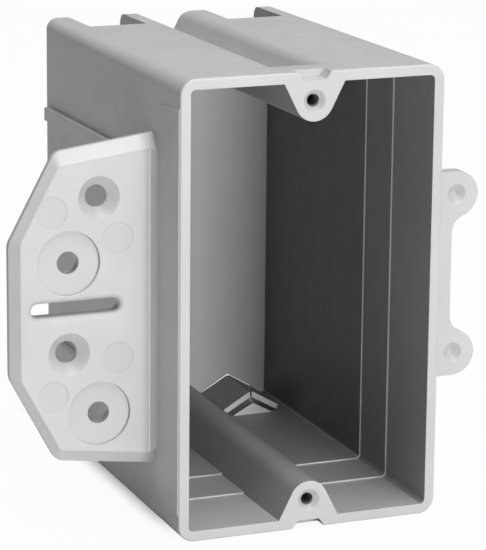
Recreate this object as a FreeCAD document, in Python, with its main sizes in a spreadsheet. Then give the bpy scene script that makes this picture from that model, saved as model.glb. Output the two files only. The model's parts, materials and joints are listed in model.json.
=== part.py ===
import FreeCAD, Part
import math
import os
import Sketcher

# Single-gang plastic switch box with a nailing bracket on its left side, a strap with two ears on its right side
# and sprung cable entries at the rear. The origin is the centre of the front opening, +Y runs to the back wall.

SIZES = [
    # The moulded shell
    ("box_width", 57.15),
    ("box_height", 95.25),
    ("box_depth", 87.3),
    ("wall", 2.2),
    ("back_wall", 1.9),
    ("outer_draft", 0.6),
    ("inner_draft", 0.27),
    ("outer_radius", 3.4),
    ("rear_radius", 2.4),
    ("inner_radius", 1.0),
    ("rim_radius", 0.4),
    # Steps inside that mark how deep the box sits behind thin and thick wall boards
    ("thin_board_mark", 19.05),
    ("thick_board_mark", 31.75),
    ("mark_step", 0.25),
    # Screw bosses, the ridges behind them and the channels outside
    ("screw_spacing", 83.34),
    ("screw_hole", 2.6),
    ("screw_mouth", 4.7),
    ("boss_length", 8.0),
    ("ridge_radius", 4.15),
    ("ridge_foot", 6.57),
    ("ridge_wall", 2.1),
    ("channel_lip", 3.4),
    ("channel_break", 0.06),
    ("notch_width", 7.2),
    ("notch_floor", 4.9),
    ("notch_drop", 1.7),
    ("notch_length", 3.3),
    ("notch_round", 0.6),
    # Flanges that stop against the stud, one board thickness behind the rim
    ("board", 12.7),
    ("flange_thickness", 3.0),
    # Nailing bracket, measured outwards from the left side
    ("bracket_reach", 30.9),
    ("bracket_shoulder", 21.2),
    ("root_half_height", 34.8),
    ("shoulder_half_height", 31.9),
    ("end_half_height", 13.8),
    ("shoulder_radius", 3.0),
    ("end_radius", 4.0),
    ("bevel_depth", 1.8),
    ("bevel_side", 2.6),
    ("bevel_end", 2.0),
    ("bevel_end_rise", 0.3),
    ("bevel_radius", 1.2),
    ("root_chamfer", 1.2),
    ("nail_hole", 4.6),
    ("nail_mouth", 8.8),
    ("nail_recess", 13.2),
    ("recess_depth", 0.8),
    ("near_hole_reach", 12.4),
    ("near_hole_height", 22.4),
    ("far_hole_reach", 18.8),
    ("far_hole_height", 9.4),
    ("slot_start", 7.9),
    ("slot_length", 18.7),
    ("slot_width", 2.8),
    ("slot_lip", 1.1),
    ("ejector_mark", 6.4),
    ("ejector_depth", 0.06),
    ("ejector_near_reach", 8.4),
    ("ejector_far_reach", 22.3),
    ("ejector_top", 20.0),
    ("ejector_upper", 13.9),
    ("ejector_lower", 11.0),
    ("ejector_bottom", 18.0),
    # Pad under the bracket, a little taller at the rim, and the two ribs behind it
    ("pad_rise", 0.3),
    ("pad_front_half_height", 41.9),
    ("pad_back_half_height", 40.6),
    ("pad_length", 14.8),
    ("pad_corner_length", 3.0),
    ("pad_corner_height", 2.0),
    ("rib_rise", 1.4),
    ("rib_width", 2.7),
    ("rib_height", 26.8),
    ("rib_lean", 0.9),
    ("rib_end", 3.4),
    ("rib_end_radius", 1.1),
    # Strap and ears, measured outwards from the right side
    ("strap_reach", 8.8),
    ("ear_reach", 9.7),
    ("ear_height", 17.2),
    ("ear_radius", 4.9),
    ("ear_fillet", 4.0),
    ("dimple", 4.3),
    ("dimple_depth", 1.4),
    ("dimple_slope", 50.0),
    # Cable entries and their flaps
    ("entry_centre", 16.15),
    ("entry_width", 12.9),
    ("entry_start", 70.65),
    ("entry_slope", 30.0),
    ("entry_eaves", 1.45),
    ("gable_width", 9.7),
    ("gable_height", 2.6),
    ("gable_thickness", 1.0),
    ("flap_thickness", 1.2),
    ("flap_root_in", 0.4),
    ("flap_root_up", 0.7),
    ("flap_gap", 0.2),
    ("flap_slit", 0.35),
    ("flap_end_gap", 0.35),
]

TOP_AND_BOTTOM = (("top", 1), ("bottom", -1))
LEFT_AND_RIGHT = (("left", -1), ("right", 1))

# Expressions that several features share
OUTER_SLOPE = "tan(Sizes.outer_draft * 1 deg)"
INNER_SLOPE = "tan(Sizes.inner_draft * 1 deg)"
HALF_WIDTH = "Sizes.box_width / 2"
HALF_HEIGHT = "Sizes.box_height / 2"
SCREW_HEIGHT = "Sizes.screw_spacing / 2"
INSIDE_DEPTH = "(Sizes.box_depth - Sizes.back_wall)"
# Half-way through a wall: features that stand on the wall start here
ROOT_X = f"({HALF_WIDTH} - Sizes.wall / 2)"
ROOT_Z = f"({HALF_HEIGHT} - Sizes.wall / 2)"
FLANGE_BACK = "(Sizes.board + Sizes.flange_thickness)"
# How far a cut runs past the surface that it opens
CLEAR = "Sizes.wall"
# Two places nearer than this are the same place
TOUCH = 0.01

doc = FreeCAD.newDocument("SwitchBox")
sheet = doc.addObject("Spreadsheet::Sheet", "Sizes")
for row, (alias, value) in enumerate(SIZES, start=1):
    sheet.set(f"A{row}", alias)
    sheet.set(f"B{row}", str(value))
    sheet.setAlias(f"B{row}", alias)
doc.recompute()


def size(expression):
    """The present value of an expression, in millimetres or degrees."""
    value = sheet.evalExpression(expression)
    return float(getattr(value, "Value", value))


def point(x, y, z=0.0):
    return FreeCAD.Vector(x, y, z)


def origin_plane(body, role):
    return next(item for item in body.Origin.OriginFeatures if item.Role == role)


def sketch_on(body, name, role, offset):
    """A sketch on one of the body's own origin planes, moved along the plane's normal."""
    drawing = body.newObject("Sketcher::SketchObject", name)
    drawing.AttachmentSupport = [(origin_plane(body, role), "")]
    drawing.MapMode = "FlatFace"
    drawing.setExpression("AttachmentOffset.Base.z", offset)
    return drawing


def front_sketch(body, name, depth):
    """A sketch seen from the front, at a depth behind the rim. Its second axis is the part's Z."""
    return sketch_on(body, name, "XZ_Plane", f"-({depth})")


def constrain(drawing, kind, places, name, expression):
    index = drawing.addConstraint(Sketcher.Constraint(kind, *places, size(expression)))
    drawing.renameConstraint(index, name)
    drawing.setExpression(f"Constraints.{name}", expression)


def arc_between(start, end, radius, turn):
    """The short arc from start to end that turns left (1) or right (-1)."""
    chord = end - start
    height = math.sqrt(max(radius ** 2 - chord.Length ** 2 / 4, 0))
    centre = (start + end) / 2 + point(-chord.y, chord.x).normalize() * height * turn
    first, last = (start, end) if turn > 0 else (end, start)
    first_angle = math.atan2(first.y - centre.y, first.x - centre.x)
    last_angle = math.atan2(last.y - centre.y, last.x - centre.x)
    return Part.ArcOfCircle(Part.Circle(centre, point(0, 0, 1), radius), first_angle, last_angle)


def add_outline(drawing, corners):
    """Close an outline through the corners. A corner is (x, z), with a straight side to the next corner, or
    (x, z, radius, turn), with an arc to it. Every number is an expression and stays bound to the sheet."""
    first = drawing.GeometryCount
    places = [point(size(corner[0]), size(corner[1])) for corner in corners]
    ends = []
    for index, corner in enumerate(corners):
        start = places[index]
        end = places[(index + 1) % len(places)]
        if len(corner) == 2:
            drawing.addGeometry(Part.LineSegment(start, end), False)
            ends.append((1, 2))
        else:
            drawing.addGeometry(arc_between(start, end, size(corner[2]), corner[3]), False)
            ends.append((1, 2) if corner[3] > 0 else (2, 1))
    for index, corner in enumerate(corners):
        side = first + index
        before = first + (index - 1) % len(corners)
        start = ends[index][0]
        drawing.addConstraint(Sketcher.Constraint("Coincident", before, ends[index - 1][1], side, start))
        constrain(drawing, "DistanceX", (-1, 1, side, start), f"across_{side}", corner[0])
        constrain(drawing, "DistanceY", (-1, 1, side, start), f"up_{side}", corner[1])
        if len(corner) == 4:
            constrain(drawing, "Radius", (side,), f"radius_{side}", corner[2])


def add_circle(drawing, x, z, diameter):
    circle = Part.Circle(point(size(x), size(z)), point(0, 0, 1), size(diameter) / 2)
    index = drawing.addGeometry(circle, False)
    constrain(drawing, "DistanceX", (-1, 1, index, 3), f"across_{index}", x)
    constrain(drawing, "DistanceY", (-1, 1, index, 3), f"up_{index}", z)
    constrain(drawing, "Diameter", (index,), f"diameter_{index}", diameter)


def rounded_rectangle(half_x, half_z, radius):
    """Corners of a rectangle with round corners, drawn anticlockwise about the middle."""
    inner_x = f"({half_x} - {radius})"
    inner_z = f"({half_z} - {radius})"
    return [
        (half_x, f"-{inner_z}"),
        (half_x, inner_z, radius, 1),
        (inner_x, half_z),
        (f"-{inner_x}", half_z, radius, 1),
        (f"-{half_x}", inner_z),
        (f"-{half_x}", f"-{inner_z}", radius, 1),
        (f"-{inner_x}", f"-{half_z}"),
        (inner_x, f"-{half_z}", radius, 1),
    ]


def mirror_outline(corners, left_right=1, up_down=1):
    """The same outline on the other side, with its arcs turned the other way where one side is swapped."""
    flip = left_right * up_down
    mirrored = []
    for corner in corners:
        place = (f"{left_right} * ({corner[0]})", f"{up_down} * ({corner[1]})")
        arc = (corner[2], corner[3] * flip) if len(corner) == 4 else ()
        mirrored.append(place + arc)
    return mirrored


def pad(body, name, drawing, length, taper=None, direction=None):
    """Add material from a front sketch towards the back, straight, drafted or along a slanted direction."""
    feature = body.newObject("PartDesign::Pad", name)
    feature.Profile = drawing
    feature.setExpression("Length", length)
    if direction:
        feature.UseCustomVector = True
        feature.Direction = point(0, 1, 0)
        for axis, expression in direction.items():
            feature.setExpression(f"Direction.{axis}", expression)
    else:
        feature.Reversed = True
    if taper:
        feature.setExpression("TaperAngle", taper)
    doc.recompute()
    return feature


def pocket(body, name, drawing, length, taper=None, direction=None):
    """Cut from a front sketch towards the back, straight, drafted or along a slanted direction."""
    faces = len(body.Tip.Shape.Faces)
    feature = body.newObject("PartDesign::Pocket", name)
    feature.Profile = drawing
    feature.setExpression("Length", length)
    if direction:
        feature.UseCustomVector = True
        feature.Direction = point(0, 1, 0)
        for axis, expression in direction.items():
            feature.setExpression(f"Direction.{axis}", expression)
    if taper:
        feature.setExpression("TaperAngle", taper)
    doc.recompute()
    if len(feature.Shape.Faces) == faces:
        raise RuntimeError(f"{name} cuts nothing")
    return feature


def edges_where(shape, test):
    return [f"Edge{number}" for number, edge in enumerate(shape.Edges, start=1) if test(edge)]


def fillet(body, name, test, radius):
    base = body.Tip
    feature = body.newObject("PartDesign::Fillet", name)
    feature.Base = (base, edges_where(base.Shape, test))
    feature.setExpression("Radius", radius)
    doc.recompute()
    return feature


def lies_at_depth(edge, depth):
    return abs(edge.BoundBox.YMin - depth) < TOUCH and abs(edge.BoundBox.YMax - depth) < TOUCH


def make_outside(body):
    """The drafted outer block with its round corners and the soft edge of the rim."""
    outside = front_sketch(body, "OutsideSketch", "0 * Sizes.box_depth")
    add_outline(outside, rounded_rectangle(f"({HALF_WIDTH})", f"({HALF_HEIGHT})", "Sizes.outer_radius"))
    pad(body, "Block", outside, "Sizes.box_depth", taper="-Sizes.outer_draft")
    depth = size("Sizes.box_depth")
    fillet(body, "RearEdge", lambda edge: lies_at_depth(edge, depth), "Sizes.rear_radius")
    fillet(body, "RimEdge", lambda edge: lies_at_depth(edge, 0), "Sizes.rim_radius")


def make_cavity(body):
    """The inside, which narrows by a step behind each depth mark. The two short bands in front are straight."""
    stops = ["0 * Sizes.box_depth", "Sizes.thin_board_mark", "Sizes.thick_board_mark", INSIDE_DEPTH]
    for steps, (start, stop) in enumerate(zip(stops, stops[1:])):
        inset = f"(Sizes.wall + ({start}) * {INNER_SLOPE} + {steps} * Sizes.mark_step)"
        cavity = front_sketch(body, f"CavitySketch{steps}", start)
        add_outline(cavity, rounded_rectangle(
            f"({HALF_WIDTH} - {inset})", f"({HALF_HEIGHT} - {inset})", "Sizes.inner_radius"))
        draft = "-Sizes.inner_draft" if stop == INSIDE_DEPTH else None
        pocket(body, f"Cavity{steps}", cavity, f"{stop} - {start}", taper=draft)


def make_screw_bosses(body):
    """At the top and the bottom: a ridge inside, a channel outside behind a solid boss, and a screw hole."""
    # The ridge's sides touch its round tip and meet the wall at its foot, which sets how far they flare
    foot_z = f"({HALF_HEIGHT} - Sizes.wall - {SCREW_HEIGHT})"
    foot_reach = f"sqrt(Sizes.ridge_foot ^ 2 + {foot_z} ^ 2)"
    angle = f"(acos(Sizes.ridge_radius / {foot_reach}) - atan({foot_z} / Sizes.ridge_foot))"
    tangent_x = f"cos({angle})"
    tangent_z = f"sin({angle})"
    flare = f"tan({angle})"
    channel_radius = "(Sizes.ridge_radius - Sizes.ridge_wall)"

    ridge_x = f"(Sizes.ridge_radius * {tangent_x})"
    ridge_z = f"({SCREW_HEIGHT} - Sizes.ridge_radius * {tangent_z})"
    base_x = f"({ridge_x} + ({ROOT_Z} - {ridge_z}) * {flare})"
    ridge_outline = [
        (base_x, ROOT_Z),
        (f"-{base_x}", ROOT_Z),
        (f"-{ridge_x}", ridge_z, "Sizes.ridge_radius", 1),
        (ridge_x, ridge_z),
    ]

    # The channel leans with the drafted wall, so behind the boss it has come in by this much
    drop = f"(Sizes.boss_length * {OUTER_SLOPE})"
    floor_x = f"({channel_radius} * {tangent_x})"
    floor_z = f"({SCREW_HEIGHT} - {channel_radius} * {tangent_z} - {drop})"
    lip_z = f"({HALF_HEIGHT} - {drop} + Sizes.channel_break - Sizes.channel_lip)"
    lip_x = f"({floor_x} + ({lip_z} - {floor_z}) * {flare} + Sizes.channel_lip / {tangent_x})"
    side_x = f"({lip_x} - Sizes.channel_lip * {tangent_x})"
    side_z = f"({lip_z} + Sizes.channel_lip * {tangent_z})"
    mouth_z = f"({lip_z} + Sizes.channel_lip)"
    above_z = f"({HALF_HEIGHT} + {CLEAR})"
    channel_outline = [
        (lip_x, above_z),
        (f"-{lip_x}", above_z),
        (f"-{lip_x}", mouth_z, "Sizes.channel_lip", -1),
        (f"-{side_x}", side_z),
        (f"-{floor_x}", floor_z, channel_radius, 1),
        (floor_x, floor_z),
        (side_x, side_z, "Sizes.channel_lip", -1),
        (lip_x, mouth_z),
    ]

    for name, side in TOP_AND_BOTTOM:
        title = name.title()
        lean = {"z": f"{-side} * {OUTER_SLOPE}"}
        ridge = front_sketch(body, f"{title}RidgeSketch", "0 * Sizes.box_depth")
        add_outline(ridge, mirror_outline(ridge_outline, up_down=side))
        pad(body, f"{title}Ridge", ridge, "Sizes.box_depth - Sizes.back_wall / 2", direction=lean)

    for name, side in TOP_AND_BOTTOM:
        title = name.title()
        lean = {"z": f"{-side} * {OUTER_SLOPE}"}
        channel = front_sketch(body, f"{title}ChannelSketch", "Sizes.boss_length")
        add_outline(channel, mirror_outline(channel_outline, up_down=side))
        pocket(body, f"{title}Channel", channel, "Sizes.box_depth", direction=lean)

    notch = front_sketch(body, "NotchSketch", "0 * Sizes.box_depth")
    drill = front_sketch(body, "ScrewSketch", "0 * Sizes.box_depth")
    floor = f"({HALF_HEIGHT} - Sizes.notch_drop)"
    widening = f"((Sizes.notch_width - Sizes.notch_floor) / 2 * ({above_z} - {floor}) / Sizes.notch_drop)"
    top = f"(Sizes.notch_floor / 2 + {widening})"
    for name, side in TOP_AND_BOTTOM:
        add_outline(notch, mirror_outline([
            (top, above_z),
            (f"-{top}", above_z),
            ("-Sizes.notch_floor / 2", floor),
            ("Sizes.notch_floor / 2", floor),
        ], up_down=side))
        add_circle(drill, "0 * Sizes.screw_hole", f"{side} * {SCREW_HEIGHT}", "Sizes.screw_hole")
    pocket(body, "Notches", notch, "Sizes.notch_length")
    notch_x = size("Sizes.notch_floor / 2")
    notch_z = size(floor)
    fillet(body, "NotchCorners",
           lambda edge: abs(abs(edge.BoundBox.Center.x) - notch_x) < TOUCH and edge.BoundBox.XLength < TOUCH
           and abs(abs(edge.BoundBox.Center.z) - notch_z) < TOUCH and edge.BoundBox.ZLength < TOUCH,
           "Sizes.notch_round")
    drill_hole(body, "ScrewHoles", drill, "Sizes.screw_hole", f"Sizes.boss_length + {CLEAR}",
               "Countersink", "Sizes.screw_mouth")


def drill_hole(body, name, drawing, diameter, depth, cut, cut_diameter, cut_depth=None):
    """Holes at the sketch's circles, each with a countersink or a flat recess at its mouth."""
    doc.recompute()
    faces = len(body.Tip.Shape.Faces)
    feature = body.newObject("PartDesign::Hole", name)
    feature.Profile = drawing
    feature.Threaded = False
    feature.DepthType = "Dimension"
    feature.DrillPoint = "Flat"
    feature.HoleCutType = cut
    feature.setExpression("Diameter", diameter)
    feature.setExpression("Depth", depth)
    feature.setExpression("HoleCutDiameter", cut_diameter)
    if cut_depth:
        feature.setExpression("HoleCutDepth", cut_depth)
    doc.recompute()
    if len(feature.Shape.Faces) == faces:
        raise RuntimeError(f"{name} cuts nothing")
    return feature


def make_entries(body):
    """Cable entries at the rear of the top and bottom walls, with a gabled end wall in front of each."""
    above = f"({HALF_HEIGHT} + {CLEAR})"
    slope = "tan(Sizes.entry_slope * 1 deg)"
    eaves = f"({HALF_HEIGHT} - Sizes.wall - 2 * Sizes.mark_step - {INSIDE_DEPTH} * {INNER_SLOPE} - Sizes.entry_eaves)"
    apex = f"({eaves} - Sizes.entry_width / 2 * {slope})"
    near = "(Sizes.entry_centre - Sizes.entry_width / 2)"
    far = "(Sizes.entry_centre + Sizes.entry_width / 2)"
    gable_near = "(Sizes.entry_centre - Sizes.gable_width / 2)"
    gable_far = "(Sizes.entry_centre + Sizes.gable_width / 2)"
    gable_foot = f"({HALF_HEIGHT} - Sizes.wall - 2 * Sizes.mark_step - Sizes.entry_start * {INNER_SLOPE})"

    gables = front_sketch(body, "GableSketch", "Sizes.entry_start - Sizes.gable_thickness")
    entries = front_sketch(body, "EntrySketch", "Sizes.entry_start")
    for _, side in TOP_AND_BOTTOM:
        for _, hand in LEFT_AND_RIGHT:
            add_outline(gables, mirror_outline([
                (gable_near, ROOT_Z + " - Sizes.mark_step * 2"),
                (gable_near, gable_foot),
                ("Sizes.entry_centre", f"{gable_foot} - Sizes.gable_height"),
                (gable_far, gable_foot),
                (gable_far, ROOT_Z + " - Sizes.mark_step * 2"),
            ], hand, side))
            add_outline(entries, mirror_outline([
                (near, above),
                (near, eaves),
                ("Sizes.entry_centre", apex),
                (far, eaves),
                (far, above),
            ], hand, side))
    pad(body, "Gables", gables, "Sizes.gable_thickness")
    pocket(body, "Entries", entries, "Sizes.box_depth")


def make_left_side(body):
    """The raised pad on the left side and the two ribs that run back from the bracket."""
    pad_face = sketch_on(body, "PadSketch", "YZ_Plane", f"-({HALF_WIDTH} + Sizes.pad_rise)")
    add_outline(pad_face, [
        ("Sizes.rim_radius", "-Sizes.pad_front_half_height"),
        ("Sizes.pad_length - Sizes.pad_corner_length", "-Sizes.pad_back_half_height"),
        ("Sizes.pad_length", "Sizes.pad_corner_height - Sizes.pad_back_half_height"),
        ("Sizes.pad_length", "Sizes.pad_back_half_height - Sizes.pad_corner_height"),
        ("Sizes.pad_length - Sizes.pad_corner_length", "Sizes.pad_back_half_height"),
        ("Sizes.rim_radius", "Sizes.pad_front_half_height"),
    ])
    raised = body.newObject("PartDesign::Pad", "SidePad")
    raised.Profile = pad_face
    raised.setExpression("Length", "Sizes.pad_rise + Sizes.wall / 2")
    doc.recompute()

    start = "(Sizes.board + Sizes.flange_thickness / 2)"
    face = f"({HALF_WIDTH} - {start} * {OUTER_SLOPE} + Sizes.rib_rise)"
    lean = "tan(Sizes.rib_lean * 1 deg)"
    for name, side in TOP_AND_BOTTOM:
        title = name.title()
        rib = front_sketch(body, f"{title}RibSketch", start)
        add_outline(rib, mirror_outline([
            (face, "Sizes.rib_height - Sizes.rib_width / 2"),
            (face, "Sizes.rib_height + Sizes.rib_width / 2"),
            (ROOT_X, "Sizes.rib_height + Sizes.rib_width / 2"),
            (ROOT_X, "Sizes.rib_height - Sizes.rib_width / 2"),
        ], -1, side))
        pad(body, f"{title}Rib", rib, f"Sizes.box_depth - Sizes.rib_end - {start}",
            direction={"x": OUTER_SLOPE, "z": f"{-side} * {lean}"})
    rib_face = size(f"{HALF_WIDTH} - Sizes.box_depth * {OUTER_SLOPE} + Sizes.rib_rise / 2")
    rib_back = size("Sizes.box_depth - Sizes.rib_end")
    fillet(body, "RibEnds", lambda edge: lies_at_depth(edge, rib_back) and edge.BoundBox.XMax < -rib_face,
           "Sizes.rib_end_radius")


def bracket_outline(shoulder, end, root_z, radii):
    """The bracket's outline with round corners, from its shoulder and end corners, on the left side of the box."""
    side_angle = f"atan(({root_z} - {shoulder[1]}) / ({shoulder[0]} - {ROOT_X}))"
    slope_angle = f"atan(({shoulder[1]} - {end[1]}) / ({end[0]} - {shoulder[0]}))"
    shoulder_run = f"({radii[0]} * tan(({slope_angle} - {side_angle}) / 2))"
    end_run = f"({radii[1]} * tan((90 deg - {slope_angle}) / 2))"
    upper = [
        (f"({end[0]} - {end_run} * cos({slope_angle}))", f"({end[1]} + {end_run} * sin({slope_angle}))"),
        (f"({shoulder[0]} + {shoulder_run} * cos({slope_angle}))",
         f"({shoulder[1]} - {shoulder_run} * sin({slope_angle}))", radii[0], 1),
        (f"({shoulder[0]} - {shoulder_run} * cos({side_angle}))",
         f"({shoulder[1]} + {shoulder_run} * sin({side_angle}))"),
        (ROOT_X, root_z),
    ]
    lower = [(corner[0], f"(-{corner[1]})") for corner in reversed(upper)]
    lower[1] += (radii[0], 1)
    lower[3] += (radii[1], 1)
    end_side = [(end[0], f"(-{end[1]} + {end_run})"), (end[0], f"({end[1]} - {end_run})", radii[1], 1)]
    return mirror_outline(lower + end_side + upper, -1, 1)


def make_bracket(body):
    """The nailing bracket: a bevelled plate with round corners, two pairs of nail holes and a slot."""
    end_x = f"({HALF_WIDTH} + Sizes.bracket_reach)"
    shoulder_x = f"({HALF_WIDTH} + Sizes.bracket_shoulder)"
    slope_run = f"(({end_x} - {shoulder_x}) / (Sizes.shoulder_half_height - Sizes.end_half_height))"
    side_rise = f"((Sizes.root_half_height - Sizes.shoulder_half_height) / ({shoulder_x} - {ROOT_X}))"
    plate = front_sketch(body, "BracketSketch", "Sizes.board + Sizes.bevel_depth")
    add_outline(plate, bracket_outline(
        (shoulder_x, "Sizes.shoulder_half_height"), (end_x, "Sizes.end_half_height"),
        "Sizes.root_half_height", ("Sizes.shoulder_radius", "Sizes.end_radius")))

    # The front face is smaller, with its sides parallel to the plate's, so the bevel between them is flat
    face_end = (f"({end_x} - Sizes.bevel_end)", "(Sizes.end_half_height + Sizes.bevel_end_rise)")
    face_shoulder_z = "(Sizes.shoulder_half_height - Sizes.bevel_side)"
    face_shoulder = (f"({face_end[0]} - ({face_shoulder_z} - {face_end[1]}) * {slope_run})", face_shoulder_z)
    face_root_z = f"({face_shoulder_z} + ({face_shoulder[0]} - {ROOT_X}) * {side_rise})"
    face = front_sketch(body, "BracketFaceSketch", "Sizes.board")
    add_outline(face, bracket_outline(
        face_shoulder, face_end, face_root_z, ("Sizes.bevel_radius", "Sizes.bevel_radius")))
    pad(body, "Bracket", plate, "Sizes.flange_thickness - Sizes.bevel_depth")
    bevel = body.newObject("PartDesign::AdditiveLoft", "BracketBevel")
    bevel.Profile = plate
    bevel.Sections = [face]
    bevel.Ruled = True
    doc.recompute()

    front = size("Sizes.board")
    side = -size(f"{HALF_WIDTH} + Sizes.pad_rise")
    base = body.Tip
    root = body.newObject("PartDesign::Chamfer", "BracketRoot")
    root.Base = (base, edges_where(
        base.Shape,
        lambda edge: lies_at_depth(edge, front) and abs(edge.BoundBox.XMax - side) < TOUCH
        and edge.BoundBox.XLength < TOUCH))
    root.setExpression("Size", "Sizes.root_chamfer")
    doc.recompute()

    near_x = f"-({HALF_WIDTH} + Sizes.near_hole_reach)"
    far_x = f"-({HALF_WIDTH} + Sizes.far_hole_reach)"
    sunk = front_sketch(body, "SunkHoleSketch", "Sizes.board")
    add_circle(sunk, near_x, "Sizes.near_hole_height", "Sizes.nail_hole")
    add_circle(sunk, far_x, "-Sizes.far_hole_height", "Sizes.nail_hole")
    through = f"Sizes.flange_thickness + {CLEAR}"
    drill_hole(body, "SunkHoles", sunk, "Sizes.nail_hole", through, "Countersink", "Sizes.nail_mouth")
    flat = front_sketch(body, "RecessedHoleSketch", "Sizes.board")
    add_circle(flat, near_x, "-Sizes.near_hole_height", "Sizes.nail_hole")
    add_circle(flat, far_x, "Sizes.far_hole_height", "Sizes.nail_hole")
    drill_hole(body, "RecessedHoles", flat, "Sizes.nail_hole", through, "Counterbore", "Sizes.nail_recess",
               "Sizes.recess_depth")

    ejector_near = f"-({HALF_WIDTH} + Sizes.ejector_near_reach)"
    ejector_far = f"-({HALF_WIDTH} + Sizes.ejector_far_reach)"
    ejectors = front_sketch(body, "EjectorSketch", "Sizes.board")
    add_circle(ejectors, ejector_far, "Sizes.ejector_top", "Sizes.ejector_mark")
    add_circle(ejectors, ejector_near, "Sizes.ejector_upper", "Sizes.ejector_mark")
    add_circle(ejectors, ejector_near, "-Sizes.ejector_lower", "Sizes.ejector_mark")
    add_circle(ejectors, ejector_far, "-Sizes.ejector_bottom", "Sizes.ejector_mark")
    pocket(body, "EjectorMarks", ejectors, "Sizes.ejector_depth")

    slot_near = f"({HALF_WIDTH} + Sizes.slot_start + Sizes.slot_width / 2)"
    slot_far = f"({HALF_WIDTH} + Sizes.slot_start + Sizes.slot_length - Sizes.slot_width / 2)"
    half = "(Sizes.slot_width / 2)"
    slot = front_sketch(body, "SlotSketch", "Sizes.board")
    add_outline(slot, mirror_outline([
        (slot_near, half, half, 1),
        (f"({slot_near} - {half})", "0 * Sizes.slot_width", half, 1),
        (slot_near, f"-{half}"),
        (slot_far, f"-{half}", half, 1),
        (f"({slot_far} + {half})", "0 * Sizes.slot_width", half, 1),
        (slot_far, half),
    ], -1, 1))
    pocket(body, "Slot", slot, through)
    reach = size(half) + TOUCH
    fillet(body, "SlotLip", lambda edge: lies_at_depth(edge, front) and edge.BoundBox.ZMax < reach
           and edge.BoundBox.ZMin > -reach and edge.BoundBox.XMax < side, "Sizes.slot_lip")


def make_ears(body):
    """The strap on the right side with an ear at each end, each with a dimple that starts a screw."""
    strap_x = f"({HALF_WIDTH} + Sizes.strap_reach)"
    ear_x = f"({HALF_WIDTH} + Sizes.ear_reach)"
    fillet_x = f"({strap_x} + Sizes.ear_fillet)"
    reach = "(Sizes.ear_radius + Sizes.ear_fillet)"
    fillet_z = f"(Sizes.ear_height - sqrt({reach} ^ 2 - ({fillet_x} - {ear_x}) ^ 2))"
    touch_x = f"({ear_x} + ({fillet_x} - {ear_x}) * Sizes.ear_radius / {reach})"
    touch_z = f"(Sizes.ear_height + ({fillet_z} - Sizes.ear_height) * Sizes.ear_radius / {reach})"
    end_z = "(Sizes.ear_height + Sizes.ear_radius)"
    outline = front_sketch(body, "EarSketch", "Sizes.board")
    add_outline(outline, [
        (ROOT_X, f"-{end_z}"),
        (ear_x, f"-{end_z}", "Sizes.ear_radius", 1),
        (touch_x, f"-{touch_z}", "Sizes.ear_fillet", -1),
        (strap_x, f"-{fillet_z}"),
        (strap_x, fillet_z, "Sizes.ear_fillet", -1),
        (touch_x, touch_z, "Sizes.ear_radius", 1),
        (ear_x, end_z),
        (ROOT_X, end_z),
    ])
    pad(body, "Ears", outline, "Sizes.flange_thickness")
    dimples = front_sketch(body, "DimpleSketch", "Sizes.board")
    for _, side in TOP_AND_BOTTOM:
        add_circle(dimples, ear_x, f"{side} * Sizes.ear_height", "Sizes.dimple")
    pocket(body, "Dimples", dimples, "Sizes.dimple_depth", taper="-Sizes.dimple_slope")


def make_flap(name, hand, up, tip):
    """One sprung flap of a cable entry: a plate that slopes from its root at the wall to the entry's middle.
    hand and up say which entry, tip says which way the flap points along X."""
    half = "(Sizes.flap_thickness / 2)"
    cosine = "cos(Sizes.entry_slope * 1 deg)"
    sine = "sin(Sizes.entry_slope * 1 deg)"
    root_x = "(Sizes.entry_width / 2 - Sizes.flap_root_in)"
    root_z = (f"({HALF_HEIGHT} - Sizes.wall - 2 * Sizes.mark_step - {INSIDE_DEPTH} * {INNER_SLOPE}"
              " - Sizes.flap_root_up)")
    tip_x = "(Sizes.flap_slit / 2)"
    fall = f"(({root_x} - {tip_x}) * tan(Sizes.entry_slope * 1 deg))"
    rise = f"({half} / {cosine})"
    outline = [
        (f"({root_x} - {half} * {sine})", f"({root_z} + {half} * {cosine})"),
        (tip_x, f"({root_z} - {fall} + {rise})"),
        (tip_x, f"({root_z} - {fall} - {rise})"),
        (f"({root_x} + {half} * {sine})", f"({root_z} - {half} * {cosine})", half, 1),
        (f"({root_x} + {half} * {cosine})", f"({root_z} + {half} * {sine})", half, 1),
    ]
    body = doc.addObject("PartDesign::Body", name)
    body.Label = name
    start = "(Sizes.entry_start + Sizes.flap_gap)"
    drawing = front_sketch(body, f"{name}_sketch", start)
    shifted = [(f"({-tip} * {corner[0]} + {hand} * Sizes.entry_centre)", f"({up} * {corner[1]})")
               + ((corner[2], corner[3] * -tip * up) if len(corner) == 4 else ()) for corner in outline]
    add_outline(drawing, shifted)
    pad(body, f"{name}_plate", drawing, f"{INSIDE_DEPTH} - Sizes.flap_end_gap - {start}")
    return body


box = doc.addObject("PartDesign::Body", "box")
box.Label = "box"
make_outside(box)
make_left_side(box)
make_bracket(box)
make_ears(box)
make_cavity(box)
make_screw_bosses(box)
make_entries(box)

pieces = [box]
for up_name, up in TOP_AND_BOTTOM:
    for hand_name, hand in LEFT_AND_RIGHT:
        for tip_name, tip in (("outer", -hand), ("inner", hand)):
            pieces.append(make_flap(f"clamp_flap_{up_name}_{hand_name}_{tip_name}", hand, up, tip))
doc.recompute()

for item in doc.Objects:
    if "Invalid" in item.State or "Error" in item.State:
        raise RuntimeError(f"{item.Name} is not sound: {item.State}")
os.makedirs("parts", exist_ok=True)
for piece in pieces:
    if piece.Shape.isNull() or not piece.Shape.isValid():
        raise RuntimeError(f"{piece.Label} has no valid shape")
    if len(piece.Shape.Solids) != 1:
        raise RuntimeError(f"{piece.Label} is not one solid")
    piece.Shape.exportStep(f"parts/{piece.Label}.step")
    print(piece.Label, round(piece.Shape.Volume, 1), piece.Shape.BoundBox)
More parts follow.
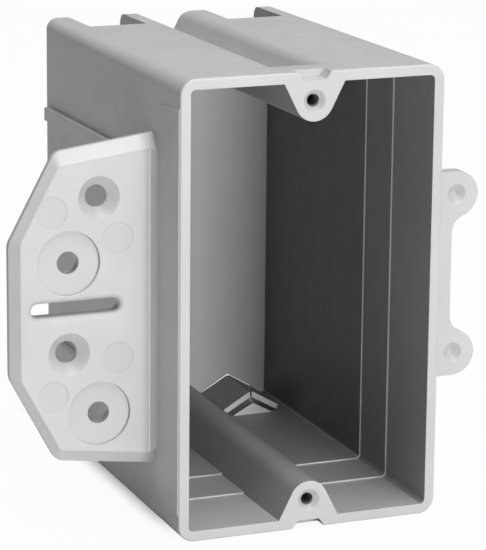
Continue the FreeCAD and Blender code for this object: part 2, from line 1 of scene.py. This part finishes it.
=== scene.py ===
# %% [markdown]
# # A nail-on switch box in grey moulded plastic
#
# The part is one deep plastic box with a nailing bracket, a strap with two ears and eight small
# clamp flaps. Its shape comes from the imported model, so this lesson is about the finish: soft
# edges, a satin grey skin with the marks a mould leaves, and a quiet studio around it.
#
# Everything is in metres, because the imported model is. A finished part always loads its fixed
# frame first, so that nothing made later can drift away from it.

import json
import math

import bmesh
import bpy
from mathutils import Matrix
from mathutils import Vector

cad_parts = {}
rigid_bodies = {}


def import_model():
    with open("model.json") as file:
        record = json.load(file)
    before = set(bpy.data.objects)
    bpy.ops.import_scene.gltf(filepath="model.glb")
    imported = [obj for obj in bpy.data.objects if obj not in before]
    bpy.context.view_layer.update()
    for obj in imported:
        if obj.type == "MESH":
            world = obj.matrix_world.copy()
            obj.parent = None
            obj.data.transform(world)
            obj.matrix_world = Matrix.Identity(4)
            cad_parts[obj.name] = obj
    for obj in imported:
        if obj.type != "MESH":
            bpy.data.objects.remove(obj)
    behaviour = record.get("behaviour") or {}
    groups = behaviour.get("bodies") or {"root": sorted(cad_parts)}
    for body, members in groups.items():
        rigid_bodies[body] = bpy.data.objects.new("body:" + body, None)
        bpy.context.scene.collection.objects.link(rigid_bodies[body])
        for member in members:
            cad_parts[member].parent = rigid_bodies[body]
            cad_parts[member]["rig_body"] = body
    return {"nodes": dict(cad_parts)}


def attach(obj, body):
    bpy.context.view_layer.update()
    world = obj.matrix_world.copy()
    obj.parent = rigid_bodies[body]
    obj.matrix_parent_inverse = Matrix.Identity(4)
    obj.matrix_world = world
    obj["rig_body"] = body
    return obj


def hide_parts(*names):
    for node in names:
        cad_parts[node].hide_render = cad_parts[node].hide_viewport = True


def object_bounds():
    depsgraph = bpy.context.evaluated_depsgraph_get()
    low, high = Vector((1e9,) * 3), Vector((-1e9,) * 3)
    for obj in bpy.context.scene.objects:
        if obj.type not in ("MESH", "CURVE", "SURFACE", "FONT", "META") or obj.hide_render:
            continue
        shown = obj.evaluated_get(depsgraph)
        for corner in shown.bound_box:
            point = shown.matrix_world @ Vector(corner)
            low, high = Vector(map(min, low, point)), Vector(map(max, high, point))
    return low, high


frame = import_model()
nodes = frame["nodes"]
cad_low, cad_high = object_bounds()
print("nodes:", len(nodes))
print("size in mm:", [round(1000 * side, 2) for side in cad_high - cad_low])

# %% [markdown]
# ## From loose facets to a smooth skin
#
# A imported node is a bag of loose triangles. Light shows each facet of a rounded corner as a
# stripe, because no two triangles share a corner. The cure is a copy whose doubled corners are
# merged and whose flat faces are joined again. Then smooth shading can run round the fillets and
# stop at the crisp edges.
#
# Smoothing by angle is better than smoothing everything: a moulded box has broad flat walls, and
# they must stay flat right up to the corner.

# %% A merged copy of a node
MERGE_DISTANCE = 0.000002
FLAT_ANGLE = math.radians(0.2)


def merged_copy(node):
    skin = bmesh.new()
    skin.from_mesh(node.data)
    bmesh.ops.remove_doubles(skin, verts=skin.verts, dist=MERGE_DISTANCE)
    bmesh.ops.dissolve_limit(
        skin,
        angle_limit=FLAT_ANGLE,
        verts=skin.verts,
        edges=skin.edges,
        delimit={"NORMAL"},
    )
    return skin


print("facets in the box:", len(nodes["box"].data.polygons))

# %% Shade round the fillets, stop at the edges
CRISP_ANGLE = math.radians(26.0)


def shade_by_angle(skin):
    for face in skin.faces:
        face.smooth = True
    for edge in skin.edges:
        edge.smooth = edge.is_manifold and edge.calc_face_angle() < CRISP_ANGLE


print("an edge is crisp from", round(math.degrees(CRISP_ANGLE)), "degrees")

# %% [markdown]
# ## The plastic
#
# The box is moulded in a light grey thermoplastic. Seen close, such a skin has four layers: a
# faint cloudiness of the colour, a satin sheen that is a little uneven, a very fine grain from
# the steel of the mould, and thin drag lines along the direction in which the mould opened,
# front to back. A broad, shallow wave lies under the grain, because no moulded wall is quite flat.
#
# A photograph of plastic could be laid on the box, but it would stretch and show seams. Each layer
# is a procedural texture on Object coordinates instead, so it stays on the part in every pose and
# has a true size in metres: a noise scale of 3000 means grains about a third of a millimetre wide.
#
# Every face also carries a tone of its own as a number, which scales the colour. The tones paint
# shade inside the box and in the screw holes and a highlight on the line at the bracket's root, and
# dull the ejector marks a touch. The next steps give the tones, and the material only reads them.

# %% Node helpers
def new_material(name):
    material = bpy.data.materials.new(name)
    material.use_nodes = True
    tree = material.node_tree
    tree.nodes.clear()
    return material, tree


def add_node(tree, kind, **settings):
    node = tree.nodes.new(kind)
    for key, value in settings.items():
        setattr(node, key, value)
    return node


# %% Noise with a direction
# A pattern is its stretch along X, Y and Z, its scale and its detail
EVEN = (1.0, 1.0, 1.0)
DRAWN_OUT = (1.0, 0.012, 1.0)
CLOUD_PATTERN = (EVEN, 45.0, 4.0)
SHEEN_PATTERN = (EVEN, 260.0, 5.0)
WAVE_PATTERN = (EVEN, 150.0, 2.0)
GRAIN_PATTERN = (EVEN, 3200.0, 3.0)
DRAG_PATTERN = (DRAWN_OUT, 1500.0, 2.0)
# Nearly all of a noise lies between these two values
NOISE_LOW = 0.3
NOISE_HIGH = 0.7


def stretched_noise(tree, position, pattern):
    stretch, scale, detail = pattern
    mapping = add_node(tree, "ShaderNodeMapping")
    mapping.inputs["Scale"].default_value = stretch
    noise = add_node(tree, "ShaderNodeTexNoise")
    noise.inputs["Scale"].default_value = scale
    noise.inputs["Detail"].default_value = detail
    tree.links.new(position, mapping.inputs["Vector"])
    tree.links.new(mapping.outputs["Vector"], noise.inputs["Vector"])
    return noise.outputs["Fac"]


def spread(tree, noise, low, high):
    ranger = add_node(tree, "ShaderNodeMapRange")
    ranger.inputs["From Min"].default_value = NOISE_LOW
    ranger.inputs["From Max"].default_value = NOISE_HIGH
    ranger.inputs["To Min"].default_value = low
    ranger.inputs["To Max"].default_value = high
    tree.links.new(noise, ranger.inputs["Value"])
    return ranger.outputs["Result"]


# %% Cloudy colour, scaled by the tone, which also carries painted shade and a painted highlight
CLOUD_DARK = (0.478, 0.478, 0.480, 1.0)
CLOUD_LIGHT = (0.522, 0.522, 0.524, 1.0)


def clouded_colour(tree, place, tone):
    tint = add_node(tree, "ShaderNodeMix", data_type="RGBA")
    tint.inputs["A"].default_value = CLOUD_DARK
    tint.inputs["B"].default_value = CLOUD_LIGHT
    cloud = spread(tree, stretched_noise(tree, place, CLOUD_PATTERN), 0.0, 1.0)
    tree.links.new(cloud, tint.inputs["Factor"])
    shade = add_node(tree, "ShaderNodeVectorMath", operation="SCALE")
    tree.links.new(tint.outputs["Result"], shade.inputs["Vector"])
    tree.links.new(tone, shade.inputs["Scale"])
    return shade.outputs["Vector"]


# %% Edges rounded by the light
# The inside is drawn with sharper edges, because its fine steps would vanish in a wide rounding
OUTSIDE_TONE = 1.0
FRONT_BAND_PAINTED_SHADE = 0.90
OUTSIDE_SOFTNESS = 0.00020
INSIDE_SOFTNESS = 0.00008
EDGE_SAMPLES = 6


def rounded_edges(tree, tone):
    softness = add_node(tree, "ShaderNodeMapRange")
    softness.inputs["From Min"].default_value = FRONT_BAND_PAINTED_SHADE
    softness.inputs["From Max"].default_value = OUTSIDE_TONE
    softness.inputs["To Min"].default_value = INSIDE_SOFTNESS
    softness.inputs["To Max"].default_value = OUTSIDE_SOFTNESS
    tree.links.new(tone, softness.inputs["Value"])
    edge = add_node(tree, "ShaderNodeBevel", samples=EDGE_SAMPLES)
    tree.links.new(softness.outputs["Result"], edge.inputs["Radius"])
    return edge.outputs["Normal"]


# %% The grey moulding
PLASTIC_IOR = 1.49
SHEEN_LOW = 0.36
SHEEN_HIGH = 0.48
# A relief is its pattern, its strength and its depth
WAVE = (WAVE_PATTERN, 0.25, 0.00012)
GRAIN = (GRAIN_PATTERN, 0.22, 0.00003)
DRAG_LINES = (DRAG_PATTERN, 0.18, 0.00003)


def add_relief(tree, place, normal, relief):
    pattern, strength, depth = relief
    bump = add_node(tree, "ShaderNodeBump")
    bump.inputs["Strength"].default_value = strength
    bump.inputs["Distance"].default_value = depth
    tree.links.new(stretched_noise(tree, place, pattern), bump.inputs["Height"])
    tree.links.new(normal, bump.inputs["Normal"])
    return bump.outputs["Normal"]


def grey_moulding():
    material, tree = new_material("grey_moulding")
    output = add_node(tree, "ShaderNodeOutputMaterial")
    plastic = add_node(tree, "ShaderNodeBsdfPrincipled")
    plastic.inputs["IOR"].default_value = PLASTIC_IOR
    place = add_node(tree, "ShaderNodeTexCoord").outputs["Object"]
    tone = add_node(tree, "ShaderNodeAttribute", attribute_name="tone").outputs["Fac"]
    sheen = spread(tree, stretched_noise(tree, place, SHEEN_PATTERN), SHEEN_LOW, SHEEN_HIGH)
    normal = rounded_edges(tree, tone)
    for relief in (WAVE, GRAIN, DRAG_LINES):
        normal = add_relief(tree, place, normal, relief)
    tree.links.new(clouded_colour(tree, place, tone), plastic.inputs["Base Color"])
    tree.links.new(sheen, plastic.inputs["Roughness"])
    tree.links.new(normal, plastic.inputs["Normal"])
    tree.links.new(plastic.outputs["BSDF"], output.inputs["Surface"])
    return material


moulding = grey_moulding()
print("material:", moulding.name, "with", len(moulding.node_tree.nodes), "nodes")

# %% [markdown]
# ## Two small corrections
#
# The side pad is a low step on the left wall. A mould leaves its long edges slightly eased, and
# its front runs into the rim, so its outer corners are moved by a quarter of a millimetre. A bevel
# would also round the edges next to them, which are crisp on the real box.
#
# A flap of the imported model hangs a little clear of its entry, so that it can turn without
# touching. On the real box it is moulded on, and only a hairline of shade shows beside it. The
# copy of each flap is therefore seated closer. Its own body still carries it.

# %% Ease the edges of the side pad
PAD_FACE = -0.028875
PAD_START = 0.00045
PAD_MEETS_RIM = 0.00015
PAD_REAR = 0.0100
PAD_EDGE_HEIGHT = 0.0355
PAD_EASE = 0.00026


def ease_the_pad(skin):
    corners = [corner for corner in skin.verts if abs(corner.co.x - PAD_FACE) < MERGE_DISTANCE]
    corners = [corner for corner in corners if abs(corner.co.z) > PAD_EDGE_HEIGHT]
    for corner in corners:
        corner.co.z -= math.copysign(PAD_EASE, corner.co.z)
        if corner.co.y < PAD_START:
            corner.co.y = PAD_MEETS_RIM
        if corner.co.y > PAD_REAR:
            corner.co.y -= PAD_EASE
    return len(corners)


# %% Seat a flap closer to its entry
FLAP_END = 0.0850
FLAP_END_NEAR = 0.08524
FLAP_LIFT = 0.00022


def seat_the_flap(skin):
    for corner in skin.verts:
        corner.co.z -= math.copysign(FLAP_LIFT, corner.co.z)
        if corner.co.y > FLAP_END:
            corner.co.y = FLAP_END_NEAR
    return len(skin.verts)


# %% [markdown]
# ## A tone for every face
#
# The inside is painted darker than the outside: painted shade, as less light reaches into the box.
# The side walls are painted darker still behind each of the two fine steps that mark the thickness
# of a wall board, and the bottom and top walls lightest near the rim, so the painted shade deepens
# towards the back. The screw holes are painted almost black, painted shade in their depth, and the
# marks of the ejector pins are a touch duller than the bracket around them.
#
# One material for each tone would break the moulding into patches with names of their own. A
# number on each face keeps one plastic, and it is found from where the face is and how it faces.

# %% Faces by the screws and on the ejector marks
SCREW_HEIGHT = 0.04167
SCREW_REACH = 0.0026
BOSS_BACK = 0.0082
CAVITY_HALF_WIDTH = 0.0268
BRACKET_FACE = 0.0127
EJECTOR_DEPTH = 0.00006
EJECTOR_SLACK = EJECTOR_DEPTH / 4


def by_a_screw(middle):
    off_screw = Vector((middle.x, 0.0, abs(middle.z) - SCREW_HEIGHT)).length
    return off_screw < SCREW_REACH and middle.y < BOSS_BACK


def on_ejector_mark(middle):
    off_the_mark = abs(middle.y - BRACKET_FACE - EJECTOR_DEPTH)
    return middle.x < -CAVITY_HALF_WIDTH and off_the_mark < EJECTOR_SLACK


# %% Faces of the cavity
CAVITY_HALF_HEIGHT = 0.0458
CAVITY_BACK = 0.0857
# Painted shade: faces inside the cavity are painted darker than the outside
INSIDE_PAINTED_SHADE = 0.62
# One painted shade in front of both steps, one between them and one behind them, darker further in
BOARD_MARKS = (0.01905, 0.03175)
SIDE_PAINTED_SHADES = (0.60, 0.46, 0.28)
LEVEL_PAINTED_SHADES = (FRONT_BAND_PAINTED_SHADE, 0.74, INSIDE_PAINTED_SHADE)
SIDE_WALL = 0.0255
LEVEL_WALL = 0.0445


def in_the_cavity(middle):
    shallow_enough = abs(middle.z) < CAVITY_HALF_HEIGHT and middle.y < CAVITY_BACK
    return shallow_enough and abs(middle.x) < CAVITY_HALF_WIDTH


def wall_painted_shade(middle):
    band = sum(middle.y > mark for mark in BOARD_MARKS)
    if abs(middle.x) > SIDE_WALL:
        return SIDE_PAINTED_SHADES[band]
    return LEVEL_PAINTED_SHADES[band] if abs(middle.z) > LEVEL_WALL else INSIDE_PAINTED_SHADE


# %% Give every face its tone
# Painted shade: the walls of the screw holes are painted almost black
HOLE_PAINTED_SHADE = 0.06
EJECTOR_TONE = 0.965
# Painted shade: the back wall inside the box is painted darker than the outside
BACK_PAINTED_SHADE = 0.74
BACK_WALL_FRONT = 0.0850
# How far a normal leans along the depth, on a hole's wall at most and on the back wall at least
HOLE_LEAN = 0.2
BACK_LEAN = 0.9
# A face turned to the middle of the box has a product below this, in metres
TURNED_INWARDS = -0.0005


def face_tone(face):
    middle = face.calc_center_median()
    if by_a_screw(middle):
        return HOLE_PAINTED_SHADE if abs(face.normal.y) < HOLE_LEAN else OUTSIDE_TONE
    if on_ejector_mark(middle):
        return EJECTOR_TONE
    # Faces inside the cavity get painted shade, by their wall and their band
    if in_the_cavity(middle) and face.normal.y < -BACK_LEAN and middle.y > BACK_WALL_FRONT:
        return BACK_PAINTED_SHADE
    outwards = Vector((middle.x, 0.0, middle.z))
    if in_the_cavity(middle) and face.normal.dot(outwards) < TURNED_INWARDS:
        return wall_painted_shade(middle)
    return OUTSIDE_TONE


def give_tones(skin):
    tone = skin.faces.layers.float.new("tone")
    for face in skin.faces:
        face[tone] = face_tone(face)
    return sum(face[tone] < OUTSIDE_TONE for face in skin.faces)


# %% [markdown]
# ## The box and its eight flaps
#
# Each copy takes the place of its node: it rides on the node's body and stands in for the node. The
# flaps could be joined to the box, as they are moulded with it, but each one bends about its own
# root. So they are copied one by one.

# %% Dress every node
def add_piece(skin, name):
    mesh = bpy.data.meshes.new(name)
    skin.to_mesh(mesh)
    skin.free()
    mesh.materials.append(moulding)
    piece = bpy.data.objects.new(name, mesh)
    bpy.context.scene.collection.objects.link(piece)
    return piece


def dress(node_name, piece_name):
    node = nodes[node_name]
    skin = merged_copy(node)
    moved = ease_the_pad(skin) if node_name == "box" else seat_the_flap(skin)
    toned = give_tones(skin)
    shade_by_angle(skin)
    piece = add_piece(skin, piece_name)
    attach(piece, node["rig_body"])
    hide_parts(node_name)
    faces = len(piece.data.polygons)
    print(piece_name, faces, "faces,", toned, "toned,", moved, "corners moved")


for node_name in sorted(nodes):
    dress(node_name, "moulded_" + node_name)

# %% [markdown]
# ## The screw threads
#
# The two small holes at the top and the bottom of the opening take the screws of the switch. Their
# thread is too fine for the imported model, so it is wound here. A thread is one small triangle that
# climbs the wall of the hole by one pitch a turn. Spin does that: it turns the triangle about the
# hole's axis in steps, and its offset moves it a little deeper at each step. Clockwise and inwards
# is a right-hand thread, as the screws have.

# %% Finish a small piece that belongs to the box
def finish_small_piece(skin, name, tone):
    layer = skin.faces.layers.float.new("tone")
    for face in skin.faces:
        face[layer] = tone
    piece = add_piece(skin, name)
    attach(piece, nodes["box"]["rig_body"])
    print(name, len(piece.data.polygons), "faces")


# %% Wind a thread
THREAD_PITCH = 0.000794
THREAD_HALF_ROOT = 0.35 * THREAD_PITCH
THREAD_WALL = 0.00133
THREAD_CREST = 0.00108
THREAD_START = 0.0013
THREAD_TURNS = 8
STEPS_A_TURN = 24
# Painted shade: the thread is painted darker, as it lies in the dark hole
THREAD_PAINTED_SHADE = 0.32


def wind_thread(name, height):
    skin = bmesh.new()
    profile = (
        (THREAD_WALL, -THREAD_HALF_ROOT),
        (THREAD_CREST, 0.0),
        (THREAD_WALL, THREAD_HALF_ROOT),
    )
    corners = [skin.verts.new((radius, THREAD_START + along, height)) for radius, along in profile]
    triangle = skin.faces.new(corners)
    bmesh.ops.spin(
        skin,
        geom=[triangle, *triangle.edges, *corners],
        cent=(0.0, 0.0, height),
        axis=(0.0, 1.0, 0.0),
        dvec=(0.0, THREAD_PITCH / STEPS_A_TURN, 0.0),
        angle=2 * math.pi * THREAD_TURNS,
        steps=THREAD_TURNS * STEPS_A_TURN,
    )
    bmesh.ops.recalc_face_normals(skin, faces=skin.faces)
    finish_small_piece(skin, name, THREAD_PAINTED_SHADE)


wind_thread("thread_top", SCREW_HEIGHT)
wind_thread("thread_bottom", -SCREW_HEIGHT)

# %% [markdown]
# ## The line at the bracket's root
#
# Where the bracket leaves the wall, two parts of the mould meet and leave a fine line on the
# plastic, less than half a millimetre wide. A line drawn in the material would not stand proud of
# the face.
# So a thin rod, flattened to an oval, is cut in half along its length, and only its round front
# stands on the bracket. The cut is closed again, so that the strip stays a real solid. Its colour is
# lifted far above the plastic's: a painted highlight, for the light the line catches.

# %% Lay the witness line
LINE_ACROSS = -0.03022
LINE_FACE = BRACKET_FACE + 0.00002
LINE_HALF_WIDTH = 0.00017
LINE_RISE = 0.00010
LINE_HALF_LENGTH = 0.03172
LINE_SIDES = 12
# Painted highlight: the line's colour is lifted above the plastic's
LINE_PAINTED_HIGHLIGHT = 1.65


def lay_line(name):
    skin = bmesh.new()
    flattened = Matrix.Diagonal((LINE_HALF_WIDTH, LINE_RISE, 1.0, 1.0))
    bmesh.ops.create_cone(
        skin,
        cap_ends=True,
        segments=LINE_SIDES,
        radius1=1.0,
        radius2=1.0,
        depth=2 * LINE_HALF_LENGTH,
        matrix=Matrix.Translation((LINE_ACROSS, LINE_FACE, 0.0)) @ flattened,
    )
    cut = bmesh.ops.bisect_plane(
        skin,
        geom=[*skin.verts, *skin.edges, *skin.faces],
        dist=MERGE_DISTANCE,
        plane_co=(LINE_ACROSS, LINE_FACE, 0.0),
        plane_no=(0.0, 1.0, 0.0),
        clear_outer=True,
    )
    loop = [part for part in cut["geom_cut"] if isinstance(part, bmesh.types.BMEdge)]
    bmesh.ops.edgeloop_fill(skin, edges=loop)
    bmesh.ops.recalc_face_normals(skin, faces=skin.faces)
    finish_small_piece(skin, name, LINE_PAINTED_HIGHLIGHT)


lay_line("bracket_witness_line_painted_highlight")

# %% [markdown]
# ## The studio
#
# The box stands on a white floor in front of nothing. The floor takes a soft shadow, so the object
# has weight, but to the camera it is nearly as white as the world behind it. Light Path does that:
# the camera sees mostly a plain white, while every other ray sees an ordinary pale floor.
#
# Under the box and just behind it that white has to be left out. The hairlines beside the flaps
# look through to the floor there, and on the real box they show deep shade. So a painted shadow,
# dark with a blurred edge, is laid on the floor where the box stands and just behind it.

# %% A painted shadow under the box, dark with a blurred edge
FOOTPRINT_MIDDLE = {"X": 0.0, "Y": 0.0560}
FOOTPRINT_HALF = {"X": 0.0265, "Y": 0.0440}
FOOTPRINT_BLUR = {"X": 0.004, "Y": 0.009}
# Painted shadow: the floor's white drops to this under the box and just behind it
PAINTED_SHADOW_LEVEL = 0.05


def inside_band(tree, place, axis):
    offset = add_node(tree, "ShaderNodeMath", operation="SUBTRACT")
    offset.inputs[1].default_value = FOOTPRINT_MIDDLE[axis]
    tree.links.new(place.outputs[axis], offset.inputs[0])
    distance = add_node(tree, "ShaderNodeMath", operation="ABSOLUTE")
    tree.links.new(offset.outputs["Value"], distance.inputs[0])
    band = add_node(tree, "ShaderNodeMapRange", interpolation_type="SMOOTHSTEP")
    band.inputs["From Min"].default_value = FOOTPRINT_HALF[axis] - FOOTPRINT_BLUR[axis]
    band.inputs["From Max"].default_value = FOOTPRINT_HALF[axis] + FOOTPRINT_BLUR[axis]
    band.inputs["To Min"].default_value = 1.0
    band.inputs["To Max"].default_value = 0.0
    tree.links.new(distance.outputs["Value"], band.inputs["Value"])
    return band.outputs["Result"]


def painted_footprint_shadow(tree):
    place = add_node(tree, "ShaderNodeSeparateXYZ")
    coordinates = add_node(tree, "ShaderNodeTexCoord").outputs["Object"]
    tree.links.new(coordinates, place.inputs["Vector"])
    both = add_node(tree, "ShaderNodeMath", operation="MULTIPLY")
    tree.links.new(inside_band(tree, place, "X"), both.inputs[0])
    tree.links.new(inside_band(tree, place, "Y"), both.inputs[1])
    shade = add_node(tree, "ShaderNodeMapRange")
    shade.inputs["To Min"].default_value = 1.0
    shade.inputs["To Max"].default_value = PAINTED_SHADOW_LEVEL
    tree.links.new(both.outputs["Value"], shade.inputs["Value"])
    return shade.outputs["Result"]


# %% The white of the floor
FLOOR_COLOUR = (0.69, 0.69, 0.69, 1.0)
SEEN_WHITE = 0.95


def white_floor():
    material, tree = new_material("white_floor")
    output = add_node(tree, "ShaderNodeOutputMaterial")
    matte = add_node(tree, "ShaderNodeBsdfDiffuse")
    matte.inputs["Color"].default_value = FLOOR_COLOUR
    white = add_node(tree, "ShaderNodeEmission")
    tree.links.new(painted_footprint_shadow(tree), white.inputs["Color"])
    seen = add_node(tree, "ShaderNodeLightPath").outputs["Is Camera Ray"]
    share = add_node(tree, "ShaderNodeMath", operation="MULTIPLY")
    share.inputs[1].default_value = SEEN_WHITE
    mix = add_node(tree, "ShaderNodeMixShader")
    tree.links.new(seen, share.inputs[0])
    tree.links.new(share.outputs["Value"], mix.inputs["Fac"])
    tree.links.new(matte.outputs["BSDF"], mix.inputs[1])
    tree.links.new(white.outputs["Emission"], mix.inputs[2])
    tree.links.new(mix.outputs["Shader"], output.inputs["Surface"])
    return material


# %% Lay the floor
FLOOR_REACH = 3.0

ground = bmesh.new()
bmesh.ops.create_grid(ground, x_segments=1, y_segments=1, size=FLOOR_REACH)
bmesh.ops.translate(ground, verts=ground.verts, vec=(0.0, 0.0, cad_low.z))
floor_mesh = bpy.data.meshes.new("floor")
ground.to_mesh(floor_mesh)
ground.free()
floor_mesh.materials.append(white_floor())
floor = bpy.data.objects.new("floor", floor_mesh)
bpy.context.scene.collection.objects.link(floor)
print("floor at", round(1000 * cad_low.z, 2), "mm")

# %% The world is white to the camera and soft to the object
SKY = 0.07
WHITE = (1.0, 1.0, 1.0, 1.0)

world = bpy.data.worlds.new("studio")
world.use_nodes = True
sky = world.node_tree
sky.nodes.clear()
sky_output = add_node(sky, "ShaderNodeOutputWorld")
ambient = add_node(sky, "ShaderNodeBackground")
ambient.inputs["Color"].default_value = WHITE
ambient.inputs["Strength"].default_value = SKY
backdrop = add_node(sky, "ShaderNodeBackground")
backdrop.inputs["Color"].default_value = WHITE
sky_mix = add_node(sky, "ShaderNodeMixShader")
seen_by_camera = add_node(sky, "ShaderNodeLightPath").outputs["Is Camera Ray"]
sky.links.new(seen_by_camera, sky_mix.inputs["Fac"])
sky.links.new(ambient.outputs["Background"], sky_mix.inputs[1])
sky.links.new(backdrop.outputs["Background"], sky_mix.inputs[2])
sky.links.new(sky_mix.outputs["Shader"], sky_output.inputs["Surface"])
bpy.context.scene.world = world
print("sky strength", SKY)

# %% [markdown]
# ## Light
#
# Three soft lamps make the form readable. A wide one high above lights every top face, and its
# light is kept out of the box by the top wall, so the inside stays quiet. A narrow one stands in
# front, a little to the right: it lights the bracket and the rim, reaches the back wall, and leaves
# the right inner wall and the left side dark. A weak one between them fills the bottom inside the
# rim and the bevels that face up and forwards.

# %% Three soft lamps
LAMP_DISTANCE = 1.6
# A lamp is its direction from the box, the side of its square in metres and its power in watts
LAMPS = {
    "top_lamp": ((0.05, 0.0, 1.0), 0.8, 20.0),
    "front_lamp": ((0.093, -1.0, 0.07), 0.4, 18.6),
    "fill_lamp": ((0.08, -0.58, 1.0), 0.7, 9.6),
}


def soft_lamp(name, toward, size, power):
    lamp = bpy.data.lights.new(name, "AREA")
    lamp.shape = "SQUARE"
    lamp.size = size
    lamp.energy = power
    holder = bpy.data.objects.new(name, lamp)
    direction = Vector(toward).normalized()
    holder.location = (cad_low + cad_high) / 2 + direction * LAMP_DISTANCE
    holder.rotation_euler = direction.to_track_quat("Z", "Y").to_euler()
    bpy.context.scene.collection.objects.link(holder)
    print(name, power, "watts")


for lamp_name, (toward, size, power) in LAMPS.items():
    soft_lamp(lamp_name, toward, size, power)

# %% [markdown]
# ## The camera
#
# The picture was taken from the left and a little above, from far away with a long lens, so
# parallel edges stay nearly parallel. The camera could be aimed at a point, but its roll and its
# tilt would be lost. It is set by its place and by the three directions of its frame instead:
# right, up and back.

# %% Set the camera
CAMERA_PLACE = (-0.230894, -0.527888, 0.150633)
CAMERA_RIGHT = (0.926929, -0.375126, 0.009149)
CAMERA_UP = (0.082638, 0.227857, 0.970181)
CAMERA_BACK = (-0.366025, -0.898533, 0.242207)
LENS = 192.79
SENSOR_WIDTH = 36.0
SHIFT_RIGHT = 0.0066
SHIFT_UP = -0.0083
NEAREST_SEEN = 0.01
FARTHEST_SEEN = 20.0

camera_data = bpy.data.cameras.new("camera")
camera_data.lens = LENS
camera_data.sensor_width = SENSOR_WIDTH
camera_data.shift_x = SHIFT_RIGHT
camera_data.shift_y = SHIFT_UP
camera_data.clip_start = NEAREST_SEEN
camera_data.clip_end = FARTHEST_SEEN
camera = bpy.data.objects.new("camera", camera_data)
turn = Matrix((CAMERA_RIGHT, CAMERA_UP, CAMERA_BACK)).transposed()
camera.matrix_world = Matrix.Translation(CAMERA_PLACE) @ turn.to_4x4()
bpy.context.scene.collection.objects.link(camera)
bpy.context.scene.camera = camera
print("camera at", [round(value, 3) for value in CAMERA_PLACE])

# %% [markdown]
# ## Finish
#
# The view transform stays plain, so that a grey renders as the grey it was given.

# %% Keep the view transform plain
bpy.context.scene.view_settings.view_transform = "Standard"
